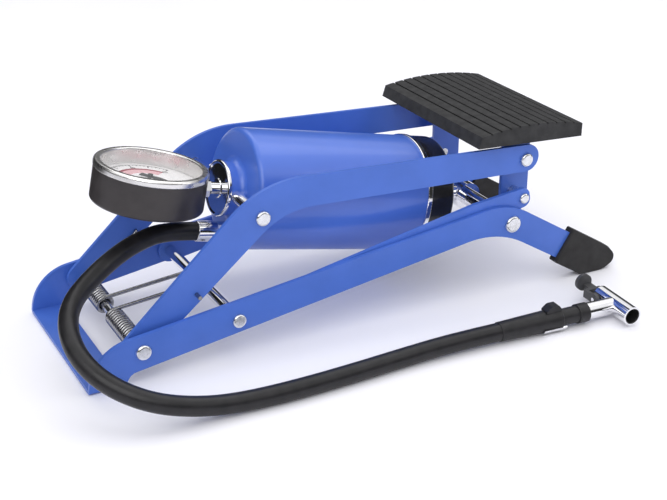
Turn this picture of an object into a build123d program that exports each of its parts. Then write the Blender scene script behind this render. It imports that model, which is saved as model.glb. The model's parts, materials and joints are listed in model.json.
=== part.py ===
from build123d import *

import os
from math import cos, radians, sin

# Foot air pump: pressing the pedal folds a lever down over a slanting barrel, which slides along its piston.
# Millimetres. +X runs from the hinge end to the pedal end, +Y to the far side and +Z up. The origin lies on
# the ground under the middle of the pump, without its hose. "Near" is the -Y side.

os.makedirs("parts", exist_ok=True)

# ---- driving dimensions -------------------------------------------------------------------------------
LENGTH = 296.0
FRONT = -LENGTH / 2
SHEET = 2.0

# outer faces of the layers of strip, measured from the middle plane
BASE_FACE = 46.5
LINK_FACE = 44.25
LEVER_FACE = 42.0
EAR_FACE = 34.0

# pivots, as (x, z)
HINGE = (FRONT + 26.8, 15.9)
CROSS_ROD = (FRONT + 74.5, 20.4)
PEDAL_PIVOT = (FRONT + 237.5, 70.7)
LINK_PIVOT = (FRONT + 236.0, 50.5)
REAR_AXLE = (FRONT + 228.3, 38.5)
TRUNNION = (FRONT + 90.0, 67.8)

HINGE_R = 2.3
CROSS_ROD_R = 2.3
REAR_AXLE_R = 3.0
PEDAL_PIN_R = 2.6
LINK_PIN_R = 2.2
TRUNNION_RIVET_R = 2.6
RUNNING = 0.05
LAYER_GAP = 0.1

# barrel, measured along its axis from the trunnion towards the rear axle
BARREL_R = 30.0
BARREL_WALL = 1.4
FACE_AT = 3.6
HEAD_THICK = 3.4
BARREL_END = 101.0
CAP_END = 115.0
NECK_R = 13.3
NECK_AT = -3.4
DISC_R = 14.0
DISC_AT = -5.4
ROD_R = 4.5
PISTON_AT = 8.2
PISTON_LONG = 14.0
UNION_DROP = 22.5
UNION_END = -2.6
FERRULE_END = -13.0

# gauge, measured up its own axis, which crosses the barrel's axis at right angles
GAUGE_AT = -40.4
GAUGE_R = 27.2
GAUGE_TOP = 11.4
GAUGE_BOTTOM = -8.5
BEZEL_R = 27.5
DIAL_OPENING_R = 24.0
DIAL_AT = 2.6

# return spring
WIRE_R = 1.0
COIL_R = 3.85
COIL_PITCH = 2.14
COIL_INNER = 7.0
COIL_TURNS = 13.616
SPRING_LEG_AT = 38.6
HOOK = (FRONT + 55.7, 36.5)

# hose and chuck
HOSE_R = 4.6
CHUCK_AT = (FRONT + 260.5, -93.9, 5.8)
CHUCK_YAW = -2.9
SLEEVE_START = -69.0
SLEEVE_END = -34.0
COLLAR_JOIN = -24.0
STEM_START = -18.0
CHUCK_HEAD_R = 5.0
CHUCK_HALF = 14.1
MOUTH_R = 4.1


# ---- helpers ------------------------------------------------------------------------------------------
def side(depth):
    """Upright plane that faces the near side, at Y = -depth."""
    return Plane.XZ.offset(depth)


def across(centre):
    """Plane at the middle of the pump, square to a pin that runs across it at centre."""
    return Plane(origin=(centre[0], 0, centre[1]), x_dir=(1, 0, 0), z_dir=(0, -1, 0))


def outline(corners):
    """Closed face from (x, y, corner radius) triples."""
    with BuildLine() as edge:
        FilletPolyline(*[(x, y) for x, y, _ in corners], radius=[r for _, _, r in corners], close=True)
    make_face(edge.edges())


def bar(base, start, end, radius, mode=Mode.ADD):
    """Round bar along the normal of base, from start to end."""
    with BuildSketch(base.offset(start)) as section:
        Circle(radius)
    extrude(section.sketch, amount=end - start, mode=mode)


def through(centre, radius):
    """Hole right across the pump."""
    bar(across(centre), -60, 60, radius, mode=Mode.SUBTRACT)


def round_head(centre, face, radius, height):
    """Flat-topped rivet head with a rounded edge on the near side, standing on the face at Y = -face."""
    with BuildSketch(Plane(origin=(centre[0], -face, centre[1]), x_dir=(1, 0, 0), z_dir=(0, 0, 1))) as half:
        outline([(0, 0, 0), (radius, 0, 0), (radius, -height, 0.7 * height), (0, -height, 0)])
    revolve(half.sketch, axis=Axis((centre[0], 0, centre[1]), (0, 1, 0)))


def twin(source):
    """The same piece on the far side."""
    with BuildPart() as copy:
        mirror(source.part, about=Plane.XZ)
    return copy


def write(builder, label):
    builder.part.label = label
    export_step(builder.part, f"parts/{label}.step")


# ---- base frame: a front strip with an arm on each side, bent from one sheet -----------------------------
STRIP_DEPTH = 16.5
LEG_SLOPE = -0.613
LEG_WIDE = 17.6
LEG_LOW_Z = 19.1
LEG_LOW_X = 248.2
LEG_SOLE = 2.6


def leg_line(x, raise_by=0.0):
    """Height of the rear leg's lower edge at x from the front, or of a line raised above it."""
    return LEG_LOW_Z + LEG_SLOPE * (x - LEG_LOW_X) + raise_by


ARM_CORNERS = [
    (0, 0, 0),
    (STRIP_DEPTH, 0, 0),
    (20.6, 6.0, 5),
    (219.4, 36.5, 50),
    (275.1, LEG_SOLE, 4),
    (291.5, LEG_SOLE, 3),
    (291.5, leg_line(291.5, LEG_WIDE), 4.5),
    (225.5, 50.6, 38),
    (0, 20.6, 23),
]

with BuildPart() as base_frame:
    with BuildSketch(side(BASE_FACE - SHEET)):
        outline([(FRONT + x, z, r) for x, z, r in ARM_CORNERS])
    extrude(amount=SHEET)
    mirror(about=Plane.XZ)
    with BuildSketch(Plane.XY):
        with Locations((FRONT + STRIP_DEPTH / 2, 0)):
            Rectangle(STRIP_DEPTH, 2 * BASE_FACE)
    extrude(amount=SHEET)
    fillet(base_frame.edges().filter_by(Axis.X).group_by(Axis.Z)[0], radius=1.8)
    through(HINGE, HINGE_R)
    through(CROSS_ROD, CROSS_ROD_R)
    through(REAR_AXLE, REAR_AXLE_R)
write(base_frame, "base_frame")

# ---- foot caps on the rear legs -------------------------------------------------------------------------
CAP_SKIN = 2.0
CAP_EDGE = 3.05
CAP_NOSE = 298.48
CAP_CORNERS = [
    (274.4, 0, 6),
    (289.5, 0, 11),
    (CAP_NOSE, 5.2, 4.5),
    (291.5, leg_line(291.5, LEG_WIDE + CAP_EDGE), 8),
    (267.2, leg_line(267.2, LEG_WIDE + CAP_EDGE), 1),
    (256.4, leg_line(256.4, -CAP_EDGE), 1),
]

with BuildPart() as foot_cap_near:
    with BuildSketch(side(BASE_FACE - SHEET - CAP_SKIN)):
        outline([(FRONT + x, z, r) for x, z, r in CAP_CORNERS])
    extrude(amount=SHEET + 2 * CAP_SKIN)
    fillet(foot_cap_near.faces().sort_by(Axis.Y)[0].edges(), radius=0.8)
    with BuildSketch(side(BASE_FACE - SHEET)):
        outline([(FRONT + x, z, r) for x, z, r in ARM_CORNERS])
    extrude(amount=SHEET, mode=Mode.SUBTRACT)
write(foot_cap_near, "foot_cap_near")
write(twin(foot_cap_near), "foot_cap_far")

# ---- pins across the base -------------------------------------------------------------------------------
HEAD_HIGH = 1.8

with BuildPart() as hinge_axle:
    bar(across(HINGE), 0, BASE_FACE, HINGE_R)
    round_head(HINGE, BASE_FACE, 3.8, HEAD_HIGH)
    mirror(about=Plane.XZ)
write(hinge_axle, "hinge_axle")

with BuildPart() as cross_rod:
    bar(across(CROSS_ROD), 0, BASE_FACE, CROSS_ROD_R)
    round_head(CROSS_ROD, BASE_FACE, 3.5, HEAD_HIGH)
    mirror(about=Plane.XZ)
write(cross_rod, "cross_rod")

with BuildPart() as rear_axle:
    bar(across(REAR_AXLE), 0, BASE_FACE, REAR_AXLE_R)
    round_head(REAR_AXLE, BASE_FACE, 4.5, HEAD_HIGH)
    mirror(about=Plane.XZ)
write(rear_axle, "rear_axle")

EYE_HALF = 5.0
REAR_TUBE_R = 4.6
ROD_TUBE_R = 3.0
WASHER_R = 4.6

with BuildPart() as cross_rod_tube:
    bar(across(CROSS_ROD), 0, LEVER_FACE, ROD_TUBE_R)
    bar(across(CROSS_ROD), 0, LEVER_FACE, CROSS_ROD_R, mode=Mode.SUBTRACT)
    mirror(about=Plane.XZ)
write(cross_rod_tube, "cross_rod_tube")

with BuildPart() as rear_axle_tubes:
    bar(across(REAR_AXLE), EYE_HALF + LAYER_GAP, LEVER_FACE, REAR_TUBE_R)
    bar(across(REAR_AXLE), EYE_HALF + LAYER_GAP, LEVER_FACE, REAR_AXLE_R, mode=Mode.SUBTRACT)
    mirror(about=Plane.XZ)
write(rear_axle_tubes, "rear_axle_tubes")

with BuildPart() as hinge_washers:
    bar(across(HINGE), LEVER_FACE + LAYER_GAP, BASE_FACE - SHEET, WASHER_R)
    bar(across(HINGE), LEVER_FACE + LAYER_GAP, BASE_FACE - SHEET, HINGE_R, mode=Mode.SUBTRACT)
    mirror(about=Plane.XZ)
write(hinge_washers, "hinge_washers")

# ---- return spring: two coils on the hinge axle, joined by a bight that presses on the cross-rod ---------
BIGHT_X = CROSS_ROD[0] + 5.0
WIRE_TOP = HINGE[1] + COIL_R
BIGHT_RISE = (CROSS_ROD[1] + ROD_TUBE_R + WIRE_R + 0.05 - WIRE_TOP) / (CROSS_ROD[0] - HINGE[0])
BIGHT_Z = WIRE_TOP + BIGHT_RISE * (BIGHT_X - HINGE[0])
COIL_LONG = COIL_TURNS * COIL_PITCH

with BuildPart() as return_spring:
    # the far coil starts above the axle and winds outward
    with BuildLine() as coil:
        Helix(
            pitch=COIL_PITCH,
            height=COIL_LONG,
            radius=COIL_R,
            center=(HINGE[0], COIL_INNER, HINGE[1]),
            direction=(0, 1, 0),
            lefthand=True,
        )
    with BuildSketch(Plane(origin=coil.line @ 0, z_dir=coil.line % 0)) as coil_wire:
        Circle(WIRE_R)
    sweep(coil_wire.sketch, path=coil.line, is_frenet=True)
    mirror(about=Plane.XZ)
    with BuildLine() as bight:
        FilletPolyline(
            (HINGE[0], -COIL_INNER, WIRE_TOP),
            (BIGHT_X, -COIL_INNER, BIGHT_Z),
            (BIGHT_X, COIL_INNER, BIGHT_Z),
            (HINGE[0], COIL_INNER, WIRE_TOP),
            radius=3.0,
        )
    with BuildSketch(Plane(origin=bight.line @ 0, z_dir=bight.line % 0)) as bight_wire:
        Circle(WIRE_R)
    sweep(bight_wire.sketch, path=bight.line)
write(return_spring, "return_spring")

with BuildPart() as spring_ends:
    LEG_START = (HINGE[0] + COIL_R * cos(radians(-48.3)), HINGE[1] + COIL_R * sin(radians(-48.3)))
    with BuildLine() as leg:
        FilletPolyline(
            (LEG_START[0], -SPRING_LEG_AT, LEG_START[1]),
            (HOOK[0], -SPRING_LEG_AT, HOOK[1]),
            (HOOK[0], -BASE_FACE, HOOK[1]),
            radius=1.3,
        )
    with BuildSketch(Plane(origin=leg.line @ 0, z_dir=leg.line % 0)) as leg_wire:
        Circle(WIRE_R)
    sweep(leg_wire.sketch, path=leg.line)
    mirror(about=Plane.XZ)
write(spring_ends, "spring_ends")

# ---- lever: two bent arms -------------------------------------------------------------------------------
LEVER_CORNERS = [
    (25.2, 5.9, 7.3),
    (101.3, 69.5, 38),
    (245.3, 63.86, 7.1),
    (245.3, 78.15, 7.1),
    (89.88, 85.49, 52),
    (15.5, 17.0, 7.3),
]

with BuildPart() as lever_arm_near:
    with BuildSketch(side(LEVER_FACE - SHEET)):
        outline([(FRONT + x, z, r) for x, z, r in LEVER_CORNERS])
    extrude(amount=SHEET)
    through(HINGE, HINGE_R + RUNNING)
    through(PEDAL_PIVOT, PEDAL_PIN_R + RUNNING)
    through(TRUNNION, TRUNNION_RIVET_R)
    through(HOOK, WIRE_R + RUNNING)
write(lever_arm_near, "lever_arm_near")
write(twin(lever_arm_near), "lever_arm_far")

with BuildPart() as trunnion_rivets:
    bar(across(TRUNNION), LEVER_FACE - SHEET, LEVER_FACE, TRUNNION_RIVET_R)
    round_head(TRUNNION, LEVER_FACE, 3.75, HEAD_HIGH)
    mirror(about=Plane.XZ)
write(trunnion_rivets, "trunnion_rivets")

# ---- lower links, one on each side, from the cross-rod to the pedal bracket -----------------------------
LINK_DIR = Vector(LINK_PIVOT[0] - CROSS_ROD[0], 0, LINK_PIVOT[1] - CROSS_ROD[1])
LINK_LONG = LINK_DIR.length
LINK_CORNERS = [
    (-6.2, -6.2, 6.1),
    (120, -7.2, 40),
    (LINK_LONG + 3.9, -4.8, 4.3),
    (LINK_LONG + 3.9, 5.2, 4.3),
    (135, 7.6, 40),
    (-6.2, 6.2, 6.1),
]

with BuildPart() as link_near:
    link_plane = Plane(origin=(CROSS_ROD[0], 0, CROSS_ROD[1]), x_dir=LINK_DIR, z_dir=(0, -1, 0))
    with BuildSketch(link_plane.offset(LINK_FACE - SHEET)):
        outline(LINK_CORNERS)
    extrude(amount=SHEET)
    through(CROSS_ROD, CROSS_ROD_R + RUNNING)
    through(LINK_PIVOT, LINK_PIN_R)
write(link_near, "link_near")
write(twin(link_near), "link_far")

with BuildPart() as link_rivets:
    bar(across(LINK_PIVOT), LINK_FACE - SHEET, LINK_FACE, LINK_PIN_R)
    round_head(LINK_PIVOT, LINK_FACE, 2.8, 1.6)
    mirror(about=Plane.XZ)
write(link_rivets, "link_rivets")

# ---- pedal: bracket, pad and pivot pins -----------------------------------------------------------------
PAD_HALF = 47.9
PAD_FRONT = 204.4
PAD_REAR = 267.1
PAD_LOW_Z = 83.65
PAD_FRONT_TOP = 89.4
PAD_REAR_TOP = 87.3
PAD_SLOPE = -0.0517
CROWN_RISE = 3.2
EAR_FRONT = 228.8
EAR_REAR = 245.3
EAR_LOW_Z = 44.1


def pad_low(x):
    """Height of the pad's underside at x from the front."""
    return PAD_LOW_Z + PAD_SLOPE * (x - PAD_FRONT)


with BuildPart() as pedal_bracket:
    with BuildSketch(side(EAR_FACE - SHEET)):
        outline(
            [
                (FRONT + EAR_FRONT, EAR_LOW_Z, 5.0),
                (FRONT + EAR_REAR, EAR_LOW_Z, 5.2),
                (FRONT + EAR_REAR, pad_low(EAR_REAR), 0),
                (FRONT + EAR_FRONT, pad_low(EAR_FRONT), 0),
            ]
        )
    extrude(amount=SHEET)
    mirror(about=Plane.XZ)
    with BuildSketch(side(-EAR_FACE)):
        with BuildLine():
            Polyline(
                (FRONT + 209.0, pad_low(209.0) - SHEET),
                (FRONT + 263.0, pad_low(263.0) - SHEET),
                (FRONT + 263.0, pad_low(263.0)),
                (FRONT + 209.0, pad_low(209.0)),
                close=True,
            )
        make_face()
    extrude(amount=2 * EAR_FACE)
    through(PEDAL_PIVOT, PEDAL_PIN_R)
    through(LINK_PIVOT, LINK_PIN_R)
write(pedal_bracket, "pedal_bracket")

RIB_COUNT = 10
with BuildPart() as pedal_pad:
    with BuildSketch(side(-PAD_HALF)) as pad_side:
        with BuildLine() as pad_edge:
            Line((FRONT + PAD_FRONT, pad_low(PAD_FRONT)), (FRONT + PAD_REAR, pad_low(PAD_REAR)))
            Line((FRONT + PAD_REAR, pad_low(PAD_REAR)), (FRONT + PAD_REAR, PAD_REAR_TOP))
            crown = SagittaArc((FRONT + PAD_REAR, PAD_REAR_TOP), (FRONT + 206.3, PAD_FRONT_TOP), -CROWN_RISE)
            Line((FRONT + 206.3, PAD_FRONT_TOP), (FRONT + PAD_FRONT, pad_low(PAD_FRONT)))
        make_face()
    extrude(amount=2 * PAD_HALF)
    with BuildSketch(side(-PAD_HALF)) as grooves:
        for step in range(RIB_COUNT):
            share = (step + 1) / (RIB_COUNT + 1)
            with Locations(Location(crown @ share, (0, 0, crown.tangent_angle_at(share)))):
                Rectangle(1.0, 1.6)
    extrude(amount=2 * PAD_HALF, mode=Mode.SUBTRACT)
write(pedal_pad, "pedal_pad")

EAR_INSIDE = EAR_FACE - SHEET
SHOULDER_END = LEVER_FACE - SHEET - LAYER_GAP
with BuildPart() as pedal_pins:
    bar(across(PEDAL_PIVOT), EAR_INSIDE, LEVER_FACE + LAYER_GAP, PEDAL_PIN_R)
    bar(across(PEDAL_PIVOT), EAR_FACE, SHOULDER_END, 4.4)
    round_head(PEDAL_PIVOT, LEVER_FACE + LAYER_GAP, 3.6, HEAD_HIGH)
    mirror(about=Plane.XZ)
write(pedal_pins, "pedal_pins")

with BuildPart() as link_studs:
    bar(across(LINK_PIVOT), EAR_INSIDE, LEVER_FACE, LINK_PIN_R)
    bar(across(LINK_PIVOT), EAR_FACE, SHOULDER_END, 3.6)
    mirror(about=Plane.XZ)
write(link_studs, "link_studs")

# ---- barrel and what is fixed to it ---------------------------------------------------------------------
BARREL_DIR = Vector(REAR_AXLE[0] - TRUNNION[0], 0, REAR_AXLE[1] - TRUNNION[1]).normalized()
BARREL_UP = Vector(-BARREL_DIR.Z, 0, BARREL_DIR.X)
TRUNNION_POINT = Vector(TRUNNION[0], 0, TRUNNION[1])
EYE_AT = (Vector(REAR_AXLE[0], 0, REAR_AXLE[1]) - TRUNNION_POINT).length
BARREL_AXIS = Axis(TRUNNION_POINT, BARREL_DIR)
BARREL_SECTION = Plane(origin=TRUNNION_POINT, x_dir=BARREL_DIR, z_dir=(0, -1, 0))
BARREL_BASE = Plane(origin=TRUNNION_POINT, x_dir=(0, 1, 0), z_dir=BARREL_DIR)
BORE_R = BARREL_R - BARREL_WALL
VALVE_R = 5.0
VALVE_SEAT_AT = 1.6
PORT_R = 2.0
TRUNNION_PIN_R = 3.3
PIN_ROOT = 11.0
PIN_STEP = 33.0

with BuildPart() as barrel:
    with BuildSketch(BARREL_SECTION):
        outline(
            [
                (NECK_AT, VALVE_R, 0),
                (VALVE_SEAT_AT, VALVE_R, 0),
                (VALVE_SEAT_AT, PORT_R, 0),
                (FACE_AT + HEAD_THICK, PORT_R, 0),
                (FACE_AT + HEAD_THICK, BORE_R, 1),
                (BARREL_END, BORE_R, 0),
                (BARREL_END, BARREL_R, 0),
                (FACE_AT, BARREL_R, 2.5),
                (FACE_AT, NECK_R, 3.2),
                (NECK_AT, NECK_R, 0),
            ]
        )
    revolve(axis=BARREL_AXIS)
    bar(across(TRUNNION), PIN_ROOT, PIN_STEP, TRUNNION_PIN_R, mode=Mode.SUBTRACT)
    bar(across(TRUNNION), -PIN_STEP, -PIN_ROOT, TRUNNION_PIN_R, mode=Mode.SUBTRACT)
write(barrel, "barrel")

STEM_R = 3.0
with BuildPart() as neck_disc:
    with BuildSketch(BARREL_SECTION):
        outline([(DISC_AT, 0, 0), (NECK_AT, 0, 0), (NECK_AT, DISC_R, 0.4), (DISC_AT, DISC_R, 0.8),
                 (DISC_AT, DISC_R - 1.2, 0), (DISC_AT + 0.5, DISC_R - 2.0, 0), (DISC_AT + 0.5, 5.0, 0),
                 (DISC_AT, 4.6, 0)])
    revolve(axis=BARREL_AXIS)
write(neck_disc, "neck_disc")

with BuildPart() as trunnion_pins:
    bar(across(TRUNNION), PIN_ROOT, PIN_STEP, TRUNNION_PIN_R)
    bar(across(TRUNNION), PIN_STEP, LEVER_FACE - SHEET - 0.3, 2.4)
    mirror(about=Plane.XZ)
write(trunnion_pins, "trunnion_pins")

RING_WIDE = 2.6
with BuildPart() as rear_ring:
    with BuildSketch(BARREL_SECTION):
        outline([(BARREL_END - RING_WIDE, BARREL_R, 0), (BARREL_END, BARREL_R, 0),
                 (BARREL_END, BARREL_R + 0.7, 0.4), (BARREL_END - RING_WIDE, BARREL_R + 0.7, 0.4)])
    revolve(axis=BARREL_AXIS)
write(rear_ring, "rear_ring")

CAP_WALL = 3.0
with BuildPart() as end_cap:
    with BuildSketch(BARREL_SECTION):
        outline([(BARREL_END, BORE_R - 2.0, 0), (CAP_END - CAP_WALL, BORE_R - 2.0, 1),
                 (CAP_END - CAP_WALL, 7.0, 0), (CAP_END, 7.0, 0), (CAP_END, BARREL_R, 2.0),
                 (BARREL_END, BARREL_R, 0)])
    revolve(axis=BARREL_AXIS)
write(end_cap, "end_cap")

with BuildPart() as rod_bush:
    bar(BARREL_BASE, CAP_END - CAP_WALL - 3.0, CAP_END + 1.5, 7.0)
    bar(BARREL_BASE, CAP_END - CAP_WALL - 3.0, CAP_END + 1.5, ROD_R + RUNNING, mode=Mode.SUBTRACT)
write(rod_bush, "rod_bush")

# check valve in the neck: a ball on its seat, held by a light spring
BALL_R = 2.5
SEAT_DEPTH = (BALL_R**2 - PORT_R**2) ** 0.5
BALL_AT = VALVE_SEAT_AT - SEAT_DEPTH - 0.02
with BuildPart() as valve_ball:
    with BuildSketch(BARREL_SECTION.shift_origin(TRUNNION_POINT + BARREL_DIR * BALL_AT)):
        with BuildLine():
            RadiusArc((-BALL_R, 0), (BALL_R, 0), BALL_R)
            Line((BALL_R, 0), (-BALL_R, 0))
        make_face()
    revolve(axis=BARREL_AXIS)
write(valve_ball, "valve_ball")

# hose union and its crimped ferrule, low on the barrel's front face
UNION_POINT = TRUNNION_POINT - BARREL_UP * UNION_DROP
UNION_SECTION = Plane(origin=UNION_POINT, x_dir=BARREL_DIR, z_dir=(0, -1, 0))
UNION_AXIS = Axis(UNION_POINT, BARREL_DIR)
with BuildPart() as hose_union:
    with BuildSketch(Plane(origin=UNION_POINT + BARREL_DIR * UNION_END, x_dir=(0, 1, 0), z_dir=BARREL_DIR)):
        RegularPolygon(radius=5.0, side_count=6)
    extrude(amount=FACE_AT - UNION_END)
write(hose_union, "hose_union")

FERRULE_R = 5.1
with BuildPart() as hose_ferrule:
    with BuildSketch(UNION_SECTION):
        outline([(FERRULE_END, 0, 0), (UNION_END, 0, 0), (UNION_END, FERRULE_R, 0.4),
                 (FERRULE_END, FERRULE_R, 0.6)])
    revolve(axis=UNION_AXIS)
write(hose_ferrule, "hose_ferrule")

# ---- gauge ----------------------------------------------------------------------------------------------
GAUGE_POINT = TRUNNION_POINT + BARREL_DIR * GAUGE_AT
GAUGE_SECTION = Plane(origin=GAUGE_POINT, x_dir=BARREL_DIR, z_dir=(0, -1, 0))
GAUGE_BASE = Plane(origin=GAUGE_POINT, x_dir=BARREL_DIR, z_dir=BARREL_UP)
GAUGE_AXIS = Axis(GAUGE_POINT, BARREL_UP)
CASE_WALL = 1.3
BEZEL_AT = 8.0
SKIRT_R = 25.6

with BuildPart() as gauge_stem:
    bar(BARREL_BASE, GAUGE_AT + GAUGE_R - CASE_WALL, DISC_AT, STEM_R)
    with BuildSketch(BARREL_BASE.offset(GAUGE_AT + GAUGE_R + 0.3)):
        RegularPolygon(radius=4.6, side_count=6)
    extrude(amount=3.2)
write(gauge_stem, "gauge_stem")

with BuildPart() as gauge_case:
    with BuildSketch(GAUGE_SECTION):
        outline([(0, GAUGE_BOTTOM, 0), (GAUGE_R, GAUGE_BOTTOM, 1.5), (GAUGE_R, BEZEL_AT, 0),
                 (GAUGE_R - CASE_WALL, BEZEL_AT, 0), (GAUGE_R - CASE_WALL, GAUGE_BOTTOM + CASE_WALL, 1),
                 (0, GAUGE_BOTTOM + CASE_WALL, 0)])
    revolve(axis=GAUGE_AXIS)
    bar(BARREL_BASE, GAUGE_AT + GAUGE_R - 2 * CASE_WALL, GAUGE_AT + GAUGE_R + 1, STEM_R, mode=Mode.SUBTRACT)
write(gauge_case, "gauge_case")

LENS_AT = 8.6
LENS_THICK = 1.0
with BuildPart() as gauge_bezel:
    with BuildSketch(GAUGE_SECTION):
        outline([(DIAL_OPENING_R, DIAL_AT + 1.0, 0), (SKIRT_R, DIAL_AT + 1.0, 0), (SKIRT_R, BEZEL_AT, 0),
                 (BEZEL_R, BEZEL_AT, 0.5), (BEZEL_R, GAUGE_TOP, 1.4), (DIAL_OPENING_R, GAUGE_TOP, 0.8)])
    revolve(axis=GAUGE_AXIS)
write(gauge_bezel, "gauge_bezel")

with BuildPart() as gauge_lens:
    bar(GAUGE_BASE, LENS_AT, LENS_AT + LENS_THICK, DIAL_OPENING_R)
write(gauge_lens, "gauge_lens")

DIAL_THICK = 0.8
SPINDLE_R = 0.6
with BuildPart() as gauge_dial:
    bar(GAUGE_BASE, DIAL_AT, DIAL_AT + DIAL_THICK, SKIRT_R)
    bar(GAUGE_BASE, DIAL_AT, DIAL_AT + DIAL_THICK, SPINDLE_R + 0.3, mode=Mode.SUBTRACT)
write(gauge_dial, "gauge_dial")

# the pointer rests 45 degrees towards the near side from the barrel's direction
POINTER_TURN = -45.0
POINTER_AT = 4.6
POINTER_THICK = 0.6
SPINDLE_HEAD_AT = POINTER_AT + POINTER_THICK + 0.1
POINTER_PLANE = Plane(GAUGE_BASE.location * Location((0, 0, POINTER_AT), (0, 0, POINTER_TURN)))
with BuildPart() as pointer:
    with BuildSketch(POINTER_PLANE):
        Circle(2.0)
        with BuildLine():
            Polyline((-5.0, -1.5), (0, -1.2), (4.5, -1.6), (11.0, 0), (4.5, 1.6), (0, 1.2), (-5.0, 1.5),
                     close=True)
        make_face()
    extrude(amount=POINTER_THICK)
    bar(GAUGE_BASE, POINTER_AT, POINTER_AT + POINTER_THICK, SPINDLE_R + RUNNING, mode=Mode.SUBTRACT)
write(pointer, "pointer")

with BuildPart() as pointer_spindle:
    bar(GAUGE_BASE, -1.0, SPINDLE_HEAD_AT, SPINDLE_R)
    bar(GAUGE_BASE, SPINDLE_HEAD_AT, SPINDLE_HEAD_AT + 0.8, 1.3)
write(pointer_spindle, "pointer_spindle")

# Bourdon tube: a flat C of thin tube from the stem's block round to the movement
BOURDON_R = 18.0
with BuildPart() as bourdon_tube:
    with BuildSketch(GAUGE_SECTION):
        with Locations((BOURDON_R, -3.2)):
            Rectangle(1.6, 4.4)
    revolve(axis=GAUGE_AXIS, revolution_arc=250)
write(bourdon_tube, "bourdon_tube")

# ---- piston, rod and eye --------------------------------------------------------------------------------
PISTON_R = BORE_R - 0.6
CUP_R = BORE_R - 0.05

with BuildPart() as piston:
    bar(BARREL_BASE, PISTON_AT + 3.0, PISTON_AT + PISTON_LONG, PISTON_R)
    bar(BARREL_BASE, PISTON_AT + 3.0, PISTON_AT + PISTON_LONG, ROD_R - 1.5, mode=Mode.SUBTRACT)
    with BuildSketch(BARREL_SECTION):
        with Locations((PISTON_AT + PISTON_LONG / 2 + 2.0, PISTON_R)):
            Rectangle(4.0, 5.0)
    revolve(axis=BARREL_AXIS, mode=Mode.SUBTRACT)
write(piston, "piston")

with BuildPart() as cup_seal:
    with BuildSketch(BARREL_SECTION):
        outline([(PISTON_AT, CUP_R - 1.6, 0), (PISTON_AT, CUP_R, 0), (PISTON_AT + 3.0, CUP_R, 0.8),
                 (PISTON_AT + 3.0, ROD_R - 1.5, 0), (PISTON_AT + 1.6, ROD_R - 1.5, 0),
                 (PISTON_AT + 1.6, CUP_R - 1.6, 0)])
    revolve(axis=BARREL_AXIS)
write(cup_seal, "cup_seal")

with BuildPart() as piston_guide:
    with BuildSketch(BARREL_SECTION):
        with Locations((PISTON_AT + PISTON_LONG / 2 + 2.0, (PISTON_R - 2.5 + CUP_R) / 2)):
            Rectangle(4.0, CUP_R - PISTON_R + 2.5)
    revolve(axis=BARREL_AXIS)
write(piston_guide, "piston_guide")

THREAD_END = 7.8
with BuildPart() as piston_rod:
    bar(BARREL_BASE, THREAD_END, PISTON_AT + PISTON_LONG, ROD_R - 1.5)
    bar(BARREL_BASE, PISTON_AT + PISTON_LONG, EYE_AT - 4.0, ROD_R)
    bar(across(REAR_AXLE), -EYE_HALF, EYE_HALF, 7.5)
    through(REAR_AXLE, REAR_AXLE_R + RUNNING)
write(piston_rod, "piston_rod")

# ---- hose: straight runs joined by tangent arcs ---------------------------------------------------------
HOSE_START = UNION_POINT + BARREL_DIR * FERRULE_END
CHUCK_X = Vector(cos(radians(CHUCK_YAW)), sin(radians(CHUCK_YAW)), 0)
CHUCK_Y = Vector(-CHUCK_X.Y, CHUCK_X.X, 0)
CHUCK_POINT = Vector(*CHUCK_AT)
HOSE_END = CHUCK_POINT + CHUCK_X * SLEEVE_START

HOSE_ROUTE = [HOSE_START, HOSE_START - BARREL_DIR * 16.0]
HOSE_ROUTE += [
    Vector(FRONT + x, y, z)
    for x, y, z in [
        (41.9, -3.6, 50.7),
        (28.5, -9.0, 48.0),
        (14.0, -16.7, 43.2),
        (-0.1, -29.5, 39.3),
        (-6.9, -44.7, 34.4),
        (-6.8, -60.7, 27.6),
        (0.3, -74.9, 20.6),
        (14.3, -85.8, 14.0),
        (32.1, -89.7, 8.7),
        (52.2, -90.4, 5.0),
        (80.0, -91.6, 4.65),
        (112.0, -90.6, 4.65),
        (142.0, -88.7, 4.75),
    ]
]
HOSE_ROUTE += [HOSE_END - CHUCK_X * 24.0, HOSE_END]

hose_radii = []
for before, corner, after in zip(HOSE_ROUTE, HOSE_ROUTE[1:], HOSE_ROUTE[2:]):
    turn = (corner - before).get_angle(after - corner)
    shorter = min((corner - before).length, (after - corner).length)
    half = radians(turn / 2)
    hose_radii.append(0.45 * shorter * cos(half) / sin(half))
print("hose bend radii:", [round(r, 1) for r in hose_radii])
print("hose runs:", [round((b - a).length, 1) for a, b in zip(HOSE_ROUTE, HOSE_ROUTE[1:])])

with BuildPart() as hose:
    with BuildLine() as hose_line:
        FilletPolyline(*HOSE_ROUTE, radius=hose_radii)
    with BuildSketch(Plane(origin=hose_line.line @ 0, z_dir=hose_line.line % 0)) as hose_section:
        Circle(HOSE_R)
    sweep(hose_section.sketch, path=hose_line.line)
hose_length = sum(edge.length for edge in hose_line.edges())
print("hose length:", round(hose_length, 1), "lowest:", round(hose.part.bounding_box().min.Z, 2))
print("hose volume / (section x length):", round(hose.part.volume / (3.14159265 * HOSE_R**2 * hose_length), 4))
write(hose, "hose")

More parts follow.
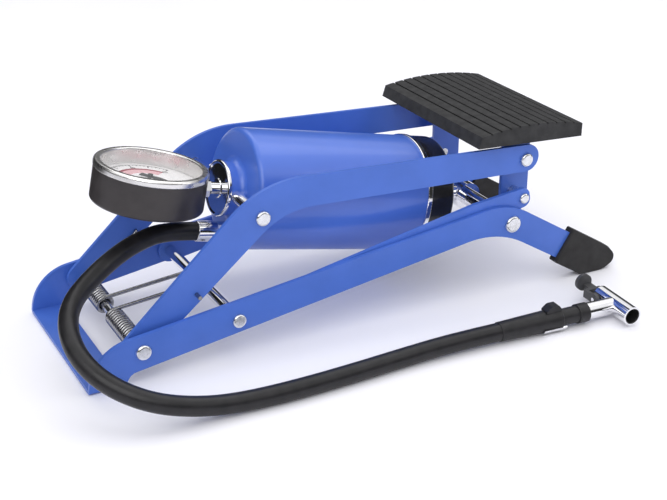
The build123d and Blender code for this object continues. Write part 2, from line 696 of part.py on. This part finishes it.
# ---- chuck on the hose's end ----------------------------------------------------------------------------
CHUCK_SECTION = Plane(origin=CHUCK_POINT, x_dir=CHUCK_X, z_dir=CHUCK_X.cross(Vector(0, 0, 1)))
CHUCK_BASE = Plane(origin=CHUCK_POINT, x_dir=(0, 0, 1), z_dir=CHUCK_X)
CHUCK_AXIS = Axis(CHUCK_POINT, CHUCK_X)
HEAD_BASE = Plane(origin=CHUCK_POINT, x_dir=CHUCK_X, z_dir=-CHUCK_Y)
HEAD_SECTION = Plane(origin=CHUCK_POINT, x_dir=-CHUCK_Y, z_dir=-CHUCK_X)
HEAD_AXIS = Axis(CHUCK_POINT, -CHUCK_Y)

with BuildPart() as hose_sleeve:
    with BuildSketch(CHUCK_SECTION):
        outline([(SLEEVE_START, 0, 0), (SLEEVE_END, 0, 0), (SLEEVE_END, 5.7, 0.6), (-36.0, 5.7, 20),
                 (SLEEVE_START, 4.9, 0.3)])
    revolve(axis=CHUCK_AXIS)
write(hose_sleeve, "hose_sleeve")

SLEEVE_R = 5.7
with BuildPart() as clamp_ear:
    with BuildSketch(CHUCK_SECTION.offset(-2.6)):
        outline([(-43.0, 4.5, 0), (-34.4, 4.5, 0), (-34.4, 6.3, 0.8), (-36.0, 8.4, 1.2), (-40.2, 8.4, 2.2),
                 (-43.0, 6.2, 1.0)])
    extrude(amount=5.2)
    bar(CHUCK_BASE, SLEEVE_START, SLEEVE_END, SLEEVE_R, mode=Mode.SUBTRACT)
write(clamp_ear, "clamp_ear")

with BuildPart() as clamp_clip:
    CLIP_UP = Vector(0, 0, cos(radians(22))) - CHUCK_Y * sin(radians(22))
    with BuildSketch(Plane(origin=CHUCK_POINT, x_dir=CHUCK_X, z_dir=CLIP_UP)):
        with Locations((-39.0, -SLEEVE_R - 0.3)):
            Rectangle(13.0, 0.5)
    revolve(axis=CHUCK_AXIS, revolution_arc=34)
write(clamp_clip, "clamp_clip")

COLLAR_ONE_R = 4.3
COLLAR_TWO_R = 4.9
with BuildPart() as chuck_collars:
    bar(CHUCK_BASE, SLEEVE_END, COLLAR_JOIN, COLLAR_ONE_R)
    bar(CHUCK_BASE, COLLAR_JOIN, STEM_START, COLLAR_TWO_R)
    fillet(chuck_collars.edges().filter_by(GeomType.CIRCLE), radius=0.2)
write(chuck_collars, "chuck_collars")

SEAL_LONG = 7.0
PLUNGER_AT = 4.4
THUMB_AT = 9.5
THUMB_POINT = CHUCK_POINT + CHUCK_Y * THUMB_AT
THUMB_BASE = Plane(origin=THUMB_POINT, x_dir=CHUCK_Y, z_dir=CHUCK_X)
THUMB_PIN_R = 1.1
CHEEK_FACE = 7.0
PIN_END = 3.0
CHEEK_THICK = 1.7
BRIDGE_AT = 6.4
BRIDGE_END = 8.4
ARM_SHIFT = 1.2
PAD_AT = 13.4
PAD_THICK = 2.0
PAD_UP = 2.8
PAD_SHIFT = 3.2

with BuildPart() as chuck_head:
    bar(HEAD_BASE, -CHUCK_HALF, CHUCK_HALF, CHUCK_HEAD_R)
    fillet(chuck_head.edges().sort_by(HEAD_AXIS)[0], radius=2.0)
    bar(CHUCK_BASE, STEM_START, 0, 4.4)
    bar(THUMB_BASE, -CHEEK_FACE, PIN_END, THUMB_PIN_R, mode=Mode.SUBTRACT)
    bar(HEAD_BASE, PLUNGER_AT, CHUCK_HALF, MOUTH_R, mode=Mode.SUBTRACT)
write(chuck_head, "chuck_head")

with BuildPart() as chuck_seal:
    bar(HEAD_BASE, CHUCK_HALF - 0.6 - SEAL_LONG, CHUCK_HALF - 0.6, MOUTH_R)
    bar(HEAD_BASE, CHUCK_HALF - 0.6 - SEAL_LONG, CHUCK_HALF - 0.6, 3.85, mode=Mode.SUBTRACT)
write(chuck_seal, "chuck_seal")

with BuildPart() as chuck_plunger:
    bar(HEAD_BASE, PLUNGER_AT, PLUNGER_AT + 1.0, 2.4)
    bar(HEAD_BASE, PLUNGER_AT + 1.0, PLUNGER_AT + 1.9, 1.0)
write(chuck_plunger, "chuck_plunger")

# thumb lever: a cheek on the head's side carries an arm behind the head; at rest the arm is in line with it
with BuildPart() as thumb_lever:
    with BuildSketch(THUMB_BASE.offset(-CHEEK_FACE)):
        Circle(3.4)
        with Locations((BRIDGE_END / 2, 0)):
            Rectangle(BRIDGE_END, 4.4)
    extrude(amount=CHEEK_THICK)
    with BuildSketch(THUMB_BASE.offset(-CHEEK_FACE)):
        with Locations(((BRIDGE_AT + BRIDGE_END) / 2, 0)):
            Rectangle(BRIDGE_END - BRIDGE_AT, 4.4)
    extrude(amount=CHEEK_FACE + 2.5)
    with BuildSketch(THUMB_BASE.offset(-ARM_SHIFT - 2.25)):
        with Locations(((BRIDGE_AT + PAD_AT) / 2, 0.4)):
            Rectangle(PAD_AT - BRIDGE_AT + 0.4, 3.0)
    extrude(amount=4.5)
    with BuildSketch(Plane(origin=THUMB_POINT + CHUCK_Y * PAD_AT, x_dir=CHUCK_X, z_dir=CHUCK_Y)):
        with Locations((-PAD_SHIFT, -PAD_UP)):
            Circle(4.5)
    extrude(amount=PAD_THICK)
    bar(THUMB_BASE, -CHEEK_FACE - 1, 0, THUMB_PIN_R + RUNNING, mode=Mode.SUBTRACT)
write(thumb_lever, "thumb_lever")

with BuildPart() as thumb_pin:
    bar(THUMB_BASE, -CHEEK_FACE - 0.4, PIN_END, THUMB_PIN_R)
write(thumb_pin, "thumb_pin")
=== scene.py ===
import json
import math

import bmesh
import bpy
from mathutils import Matrix, Vector


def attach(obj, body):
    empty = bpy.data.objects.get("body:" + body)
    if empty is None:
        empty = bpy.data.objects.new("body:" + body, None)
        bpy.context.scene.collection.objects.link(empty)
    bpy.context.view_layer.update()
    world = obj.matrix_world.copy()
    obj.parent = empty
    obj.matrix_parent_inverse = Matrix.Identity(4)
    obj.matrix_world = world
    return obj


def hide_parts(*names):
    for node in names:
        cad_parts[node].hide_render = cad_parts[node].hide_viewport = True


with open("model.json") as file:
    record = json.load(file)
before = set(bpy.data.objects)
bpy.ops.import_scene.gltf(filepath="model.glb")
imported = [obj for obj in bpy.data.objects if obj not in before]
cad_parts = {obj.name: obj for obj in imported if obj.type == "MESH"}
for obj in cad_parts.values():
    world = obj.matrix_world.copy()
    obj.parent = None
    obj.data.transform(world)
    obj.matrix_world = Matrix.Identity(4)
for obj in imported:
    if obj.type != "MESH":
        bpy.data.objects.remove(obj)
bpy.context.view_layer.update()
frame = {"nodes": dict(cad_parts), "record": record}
nodes = frame["nodes"]
MM = 0.001
scene = bpy.context.scene
scene.view_settings.view_transform = "Standard"

# ---- camera, at the photograph's viewing angle ----------------------------------------------------------
camera = bpy.data.objects.new("camera", bpy.data.cameras.new("camera"))
scene.collection.objects.link(camera)
scene.camera = camera
camera.data.lens = 70.4
camera.data.sensor_width = 36.0
camera.data.clip_start = 0.01
camera.data.shift_x = -0.0027
camera.data.shift_y = 0.0033
camera.location = (-0.28603, -0.54698, 0.30698)
camera.rotation_euler = Vector((0.4227, 0.8027, -0.4206)).to_track_quat("-Z", "Y").to_euler()

# ---- the same lines as in the CAD, in metres ------------------------------------------------------------
FRONT = -0.148
TRUNNION = Vector((FRONT + 0.090, 0, 0.0678))
REAR_AXLE = Vector((FRONT + 0.2283, 0, 0.0385))
BARREL_DIR = (REAR_AXLE - TRUNNION).normalized()
BARREL_UP = Vector((-BARREL_DIR.z, 0, BARREL_DIR.x))
GAUGE_POINT = TRUNNION - BARREL_DIR * 0.0404
HOSE_START = TRUNNION - BARREL_UP * 0.0225 - BARREL_DIR * 0.0130
CHUCK_YAW = math.radians(-2.9)
CHUCK_X = Vector((math.cos(CHUCK_YAW), math.sin(CHUCK_YAW), 0))
CHUCK_Y = Vector((-CHUCK_X.y, CHUCK_X.x, 0))
CHUCK_POINT = Vector((FRONT + 0.2605, -0.0939, 0.0058))
HOSE_END = CHUCK_POINT - CHUCK_X * 0.069
HOSE_R = 4.6 * MM

HOSE_ROUTE = [HOSE_START, HOSE_START - BARREL_DIR * 0.016]
HOSE_ROUTE += [
    Vector((FRONT + x * MM, y * MM, z * MM))
    for x, y, z in [
        (41.9, -3.6, 50.7),
        (28.5, -9.0, 48.0),
        (14.0, -16.7, 43.2),
        (-0.1, -29.5, 39.3),
        (-6.9, -44.7, 34.4),
        (-6.8, -60.7, 27.6),
        (0.3, -74.9, 20.6),
        (14.3, -85.8, 14.0),
        (32.1, -89.7, 8.7),
        (52.2, -90.4, 5.0),
        (80.0, -91.6, 4.65),
        (112.0, -90.6, 4.65),
        (142.0, -88.7, 4.75),
    ]
]
HOSE_ROUTE += [HOSE_END - CHUCK_X * 0.024, HOSE_END]


# ---- materials ------------------------------------------------------------------------------------------
class Finish:
    """A procedural material, built up in steps on one Principled shader."""

    def __init__(self, name, rough=0.5, metallic=0.0, **sockets):
        self.material = bpy.data.materials.new(name)
        self.material.use_nodes = True
        self.tree = self.material.node_tree
        self.shader = self.tree.nodes["Principled BSDF"]
        self.shader.inputs["Roughness"].default_value = rough
        self.shader.inputs["Metallic"].default_value = metallic
        for key, value in sockets.items():
            self.shader.inputs[key.replace("_", " ")].default_value = value
        self.place = self.tree.nodes.new("ShaderNodeTexCoord")
        self.bump = None

    def noise(self, scale, detail):
        """Noise at that many cells to the metre."""
        texture = self.tree.nodes.new("ShaderNodeTexNoise")
        texture.inputs["Scale"].default_value = scale
        texture.inputs["Detail"].default_value = detail
        self.tree.links.new(self.place.outputs["Object"], texture.inputs["Vector"])
        return texture.outputs["Fac"]

    def spread(self, value, low, high):
        """Stretches the middle of the noise to run from low to high."""
        node = self.tree.nodes.new("ShaderNodeMapRange")
        node.inputs["From Min"].default_value = 0.3
        node.inputs["From Max"].default_value = 0.7
        node.inputs["To Min"].default_value = low
        node.inputs["To Max"].default_value = high
        self.tree.links.new(value, node.inputs["Value"])
        return node.outputs["Result"]

    def colour(self, dark, light, scale):
        """Varies the colour between two, in patches of that scale."""
        value = self.noise(scale, 4.0)
        ramp = self.tree.nodes.new("ShaderNodeValToRGB")
        for element, at, colour in zip(ramp.color_ramp.elements, (0.32, 0.68), (dark, light)):
            element.position = at
            element.color = (*colour, 1)
        self.tree.links.new(value, ramp.inputs["Fac"])
        self.tree.links.new(ramp.outputs["Color"], self.shader.inputs["Base Color"])
        return self

    def roughness(self, low, high, scale):
        value = self.spread(self.noise(scale, 4.0), low, high)
        self.tree.links.new(value, self.shader.inputs["Roughness"])
        return self

    def relief(self, scale, height, strength, detail=3.0):
        """Adds bump of that height in metres."""
        node = self.tree.nodes.new("ShaderNodeBump")
        node.inputs["Strength"].default_value = strength
        node.inputs["Distance"].default_value = height
        self.tree.links.new(self.noise(scale, detail), node.inputs["Height"])
        if self.bump:
            self.tree.links.new(self.bump.outputs["Normal"], node.inputs["Normal"])
        self.tree.links.new(node.outputs["Normal"], self.shader.inputs["Normal"])
        self.bump = node
        return self


frame_paint = Finish("frame_paint", Coat_Weight=0.15, Coat_Roughness=0.2, Specular_IOR_Level=0.4)
frame_paint.colour((0.053, 0.137, 0.52), (0.060, 0.151, 0.57), 60).roughness(0.34, 0.46, 45)
frame_paint.relief(900, 0.00004, 0.25).relief(90, 0.00010, 0.12)

barrel_paint = Finish("barrel_paint", Coat_Weight=0.4, Coat_Roughness=0.12, Specular_IOR_Level=0.5)
barrel_paint.colour((0.056, 0.142, 0.56), (0.063, 0.157, 0.61), 40).roughness(0.28, 0.38, 50)
barrel_paint.relief(700, 0.00003, 0.2).relief(60, 0.00010, 0.10)

pad_rubber = Finish("pad_rubber", Specular_IOR_Level=0.25)
pad_rubber.colour((0.026, 0.026, 0.027), (0.040, 0.040, 0.041), 240).roughness(0.62, 0.82, 180)
pad_rubber.relief(1500, 0.00012, 0.5, detail=5).relief(60, 0.0002, 0.12)

cap_rubber = Finish("cap_rubber", Specular_IOR_Level=0.25)
cap_rubber.colour((0.020, 0.019, 0.019), (0.030, 0.029, 0.029), 200).roughness(0.5, 0.66, 120)
cap_rubber.relief(1300, 0.00007, 0.4, detail=4)

zinc = Finish("rivet_zinc", metallic=1.0)
zinc.colour((0.66, 0.67, 0.69), (0.80, 0.81, 0.83), 500).roughness(0.16, 0.32, 400)
zinc.relief(900, 0.00004, 0.35)

chrome = Finish("chrome", metallic=1.0)
chrome.colour((0.80, 0.80, 0.82), (0.86, 0.86, 0.88), 80).roughness(0.05, 0.12, 150)
chrome.relief(250, 0.00002, 0.12)

bezel_chrome = Finish("bezel_chrome", metallic=1.0)
bezel_chrome.colour((0.72, 0.71, 0.70), (0.82, 0.81, 0.80), 90).roughness(0.24, 0.34, 200)
bezel_chrome.relief(300, 0.00002, 0.15)

steel = Finish("spring_steel", metallic=1.0)
steel.colour((0.26, 0.26, 0.27), (0.38, 0.38, 0.40), 900).roughness(0.16, 0.28, 700)
steel.relief(2500, 0.00002, 0.2)

gloss_black = Finish("end_cap_plastic", Coat_Weight=0.3, Coat_Roughness=0.08)
gloss_black.colour((0.010, 0.010, 0.012), (0.017, 0.017, 0.019), 120).roughness(0.16, 0.26, 140)
gloss_black.relief(500, 0.00003, 0.2)

case_black = Finish("case_plastic", Specular_IOR_Level=0.5)
case_black.colour((0.026, 0.022, 0.023), (0.036, 0.031, 0.032), 160).roughness(0.34, 0.46, 160)
case_black.relief(1400, 0.00004, 0.35)

glass = Finish("glass", rough=0.03, IOR=1.3)
glass.shader.inputs["Base Color"].default_value = (0.95, 0.97, 0.98, 1)
glass.shader.inputs["Alpha"].default_value = 0.06
glass.roughness(0.01, 0.05, 60)

dial_white = Finish("dial_face", Specular_IOR_Level=0.3)
dial_white.colour((0.80, 0.78, 0.77), (0.86, 0.84, 0.83), 100).roughness(0.5, 0.6, 200)

ink_black = Finish("dial_ink_black", Specular_IOR_Level=0.3)
ink_black.colour((0.012, 0.012, 0.013), (0.022, 0.022, 0.023), 900).roughness(0.5, 0.65, 600)

ink_red = Finish("dial_ink_red", Specular_IOR_Level=0.3)
ink_red.colour((0.24, 0.008, 0.026), (0.31, 0.013, 0.036), 900).roughness(0.45, 0.6, 600)

ink_pink = Finish("dial_ink_pink", Specular_IOR_Level=0.3)
ink_pink.colour((0.70, 0.40, 0.42), (0.76, 0.46, 0.48), 500).roughness(0.5, 0.65, 600)

pointer_black = Finish("pointer_black", Specular_IOR_Level=0.5)
pointer_black.colour((0.010, 0.010, 0.010), (0.020, 0.020, 0.020), 900).roughness(0.3, 0.42, 600)

brass = Finish("brass", metallic=1.0)
brass.colour((0.66, 0.46, 0.20), (0.78, 0.57, 0.28), 400).roughness(0.2, 0.34, 500)

aluminium = Finish("piston_aluminium", metallic=1.0)
aluminium.colour((0.66, 0.67, 0.69), (0.76, 0.77, 0.79), 300).roughness(0.28, 0.4, 500)

seal_rubber = Finish("seal_rubber", Specular_IOR_Level=0.4)
seal_rubber.colour((0.008, 0.008, 0.009), (0.014, 0.014, 0.015), 500).roughness(0.45, 0.6, 500)

guide_plastic = Finish("guide_plastic")
guide_plastic.colour((0.70, 0.69, 0.64), (0.78, 0.77, 0.72), 200).roughness(0.4, 0.5, 300)

hose_rubber = Finish("hose_rubber", Specular_IOR_Level=0.35)
hose_rubber.colour((0.010, 0.010, 0.011), (0.017, 0.016, 0.018), 170).roughness(0.30, 0.42, 220)
hose_rubber.relief(1100, 0.00005, 0.35).relief(120, 0.00015, 0.15)

sleeve_plastic = Finish("sleeve_plastic", Specular_IOR_Level=0.35)
sleeve_plastic.colour((0.011, 0.011, 0.012), (0.018, 0.017, 0.019), 220).roughness(0.36, 0.5, 260)
sleeve_plastic.relief(1500, 0.00005, 0.4)

lever_plastic = Finish("lever_plastic", Specular_IOR_Level=0.45)
lever_plastic.colour((0.050, 0.050, 0.053), (0.066, 0.066, 0.069), 260).roughness(0.42, 0.55, 260)
lever_plastic.relief(1600, 0.00005, 0.4)

FINISHES = {
    "frame_paint": frame_paint,
    "barrel_paint": barrel_paint,
    "pad_rubber": pad_rubber,
    "cap_rubber": cap_rubber,
    "rivet_zinc": zinc,
    "chrome": chrome,
    "bezel_chrome": bezel_chrome,
    "spring_steel": steel,
    "end_cap_plastic": gloss_black,
    "case_plastic": case_black,
    "glass": glass,
    "dial_face": dial_white,
    "pointer_black": pointer_black,
    "brass": brass,
    "piston_aluminium": aluminium,
    "seal_rubber": seal_rubber,
    "guide_plastic": guide_plastic,
    "hose_rubber": hose_rubber,
    "sleeve_plastic": sleeve_plastic,
    "lever_plastic": lever_plastic,
}
for subpart in frame["record"]["subparts"]:
    cad = nodes[subpart["node"]]
    for cad_slot in cad.material_slots:
        cad_slot.material = FINISHES[subpart["material_slot"]].material


# ---- pieces ---------------------------------------------------------------------------------------------
def add_object(name, data, finish, body):
    piece = bpy.data.objects.new(name, data)
    scene.collection.objects.link(piece)
    data.materials.append(finish.material)
    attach(piece, body)
    return piece


# the hose: one smooth curve through the route's points
hose_data = bpy.data.curves.new("hose_tube", "CURVE")
hose_data.dimensions = "3D"
hose_data.bevel_depth = HOSE_R
hose_data.bevel_resolution = 10
hose_data.resolution_u = 24
hose_data.use_fill_caps = True
hose_line = hose_data.splines.new("NURBS")
hose_line.points.add(len(HOSE_ROUTE) - 1)
for control, point in zip(hose_line.points, HOSE_ROUTE):
    control.co = (*point, 1)
hose_line.order_u = 3
hose_line.use_endpoint_u = True
hose_tube = add_object("hose_tube", hose_data, hose_rubber, "cylinder")
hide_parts("hose")

# the gauge's printed face: scale, numbers and the red band at its end
DIAL_TOP = 3.4 * MM
NUMBER_R = 16.9 * MM
NUMBER_SIZE = 3.6 * MM
# radii in millimetres and readings, as band() takes them
SCALE_R = 21.3
RED_INNER, RED_OUTER = 14.3, 16.0
PINK_INNER = 9.5
RED_START = 5.9
DIAL_FRAME = Matrix(
    (
        (BARREL_DIR.x, 0, BARREL_UP.x, GAUGE_POINT.x),
        (0, 1, 0, 0),
        (BARREL_DIR.z, 0, BARREL_UP.z, GAUGE_POINT.z),
        (0, 0, 0, 1),
    )
)
SCALE_START = -45.0
SCALE_SWEEP = 270.0
SCALE_MAX = 10


def scale_angle(reading):
    """Angle on the dial, from the barrel's direction towards +Y, of a reading from 0 to SCALE_MAX."""
    return math.radians(SCALE_START - SCALE_SWEEP * reading / SCALE_MAX)


def band(bm, inner, outer, start, end, height, steps):
    """Flat ring segment between two radii in millimetres and two readings."""
    rows = []
    for step in range(steps + 1):
        angle = scale_angle(start + (end - start) * step / steps)
        rows.append(
            [bm.verts.new((r * MM * math.cos(angle), r * MM * math.sin(angle), height)) for r in (inner, outer)]
        )
    for a, b in zip(rows, rows[1:]):
        bm.faces.new((a[0], a[1], b[1], b[0]))


def print_mesh(name, fill):
    """Mesh of one colour of print, with its faces turned up, laid on the dial."""
    bm = bmesh.new()
    fill(bm)
    bmesh.ops.recalc_face_normals(bm, faces=bm.faces)
    for face in bm.faces:
        if face.normal.z < 0:
            face.normal_flip()
    data = bpy.data.meshes.new(name)
    bm.transform(DIAL_FRAME)
    bm.to_mesh(data)
    bm.free()
    return data


def black_scale(bm):
    height = DIAL_TOP + 0.06 * MM
    band(bm, SCALE_R - 0.4, SCALE_R, 0, SCALE_MAX, height, 120)
    for tick in range(51):
        half = (0.30 if tick % 5 == 0 else 0.13) / 21
        long = 3.0 if tick % 5 == 0 else 1.6
        middle = tick / 5
        spread = math.degrees(half) / SCALE_SWEEP * SCALE_MAX
        band(bm, SCALE_R - long, SCALE_R, middle - spread, middle + spread, height, 1)


def red_band(bm):
    band(bm, RED_INNER, RED_OUTER, RED_START, SCALE_MAX, DIAL_TOP + 0.07 * MM, 60)


def pink_band(bm):
    band(bm, PINK_INNER, RED_INNER, RED_START, SCALE_MAX, DIAL_TOP + 0.05 * MM, 60)


add_object("dial_scale", print_mesh("dial_scale", black_scale), ink_black, "cylinder")
add_object("dial_red_band", print_mesh("dial_red_band", red_band), ink_red, "cylinder")
add_object("dial_pink_band", print_mesh("dial_pink_band", pink_band), ink_pink, "cylinder")

for reading in range(0, 11, 2):
    digits = bpy.data.curves.new(f"dial_number_{reading}", "FONT")
    digits.body = str(reading)
    digits.size = NUMBER_SIZE
    digits.align_x = "CENTER"
    digits.align_y = "CENTER"
    number = bpy.data.objects.new(f"dial_number_{reading}", digits)
    angle = scale_angle(reading)
    at = Vector((NUMBER_R * math.cos(angle), NUMBER_R * math.sin(angle), DIAL_TOP + 0.08 * MM))
    turn = Matrix.Rotation(math.radians(-90), 4, "Z")
    number.matrix_world = DIAL_FRAME @ Matrix.Translation(at) @ turn
    scene.collection.objects.link(number)
    digits.materials.append(ink_black.material)
    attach(number, "cylinder")

# ---- floor and light ------------------------------------------------------------------------------------
floor_finish = Finish("floor", Specular_IOR_Level=0.15)
floor_finish.colour((0.92, 0.915, 0.95), (0.94, 0.935, 0.97), 3).roughness(0.6, 0.75, 12)
floor_mesh = bpy.data.meshes.new("floor")
FLOOR_HALF = 6.0
floor_corners = [(FLOOR_HALF * x, FLOOR_HALF * y, 0) for x, y in ((-1, -1), (1, -1), (1, 1), (-1, 1))]
floor_mesh.from_pydata(floor_corners, [], [(0, 1, 2, 3)])
floor = bpy.data.objects.new("floor", floor_mesh)
floor.location.z = -0.0002
floor_mesh.materials.append(floor_finish.material)
scene.collection.objects.link(floor)

world = bpy.data.worlds.new("studio")
scene.world = world
world.use_nodes = True
sky = world.node_tree.nodes["Background"]
sky.inputs["Color"].default_value = (0.95, 0.955, 1.0, 1)
sky.inputs["Strength"].default_value = 0.74

# reflections see a room that is dark up to a little above the horizon, bright over that and dimmer overhead
direction = world.node_tree.nodes.new("ShaderNodeTexCoord")
parts = world.node_tree.nodes.new("ShaderNodeSeparateXYZ")
bands = world.node_tree.nodes.new("ShaderNodeValToRGB")
room = world.node_tree.nodes.new("ShaderNodeBackground")
path = world.node_tree.nodes.new("ShaderNodeLightPath")
blend = world.node_tree.nodes.new("ShaderNodeMixShader")
while len(bands.color_ramp.elements) < 6:
    bands.color_ramp.elements.new(0.5)
BANDS = [(0.0, 0.03), (0.30, 0.03), (0.42, 0.10), (0.52, 0.95), (0.86, 1.1), (0.96, 0.35)]
for element, (at, level) in zip(bands.color_ramp.elements, BANDS):
    element.position = at
    element.color = (level, level, level, 1)
world.node_tree.links.new(direction.outputs["Generated"], parts.inputs["Vector"])
world.node_tree.links.new(parts.outputs["Z"], bands.inputs["Fac"])
world.node_tree.links.new(bands.outputs["Color"], room.inputs["Color"])
world.node_tree.links.new(path.outputs["Is Glossy Ray"], blend.inputs["Fac"])
world.node_tree.links.new(sky.outputs["Background"], blend.inputs[1])
world.node_tree.links.new(room.outputs["Background"], blend.inputs[2])
world.node_tree.links.new(blend.outputs["Shader"], world.node_tree.nodes["World Output"].inputs["Surface"])


def softbox(name, at, toward, size, power):
    data = bpy.data.lights.new(name, "AREA")
    data.shape = "RECTANGLE"
    data.size, data.size_y = size
    data.energy = power
    light = bpy.data.objects.new(name, data)
    light.location = at
    light.rotation_euler = (Vector(toward) - Vector(at)).to_track_quat("-Z", "Y").to_euler()
    scene.collection.objects.link(light)


softbox("key", (-0.7, -0.9, 1.1), (0, 0, 0.04), (1.3, 1.3), 9)
softbox("top", (0.2, 0.3, 1.4), (0, 0, 0), (1.8, 1.4), 8)
softbox("fill", (1.2, -0.6, 0.6), (0, 0, 0.05), (0.8, 0.8), 3)

# a dark card behind the gauge, seen in reflections only
card_finish = Finish("card", rough=0.9, Specular_IOR_Level=0.0)
card_finish.colour((0.008, 0.008, 0.008), (0.014, 0.014, 0.014), 6)
card_mesh = bpy.data.meshes.new("card")
CARD_Y = 0.16
card_corners = [(x, CARD_Y, z) for x, z in ((-0.42, 0), (-0.12, 0), (-0.12, 0.4), (-0.42, 0.4))]
card_mesh.from_pydata(card_corners, [], [(0, 1, 2, 3)])
card = bpy.data.objects.new("card", card_mesh)
card_mesh.materials.append(card_finish.material)
scene.collection.objects.link(card)
card.visible_camera = False
card.visible_diffuse = False
card.visible_shadow = False
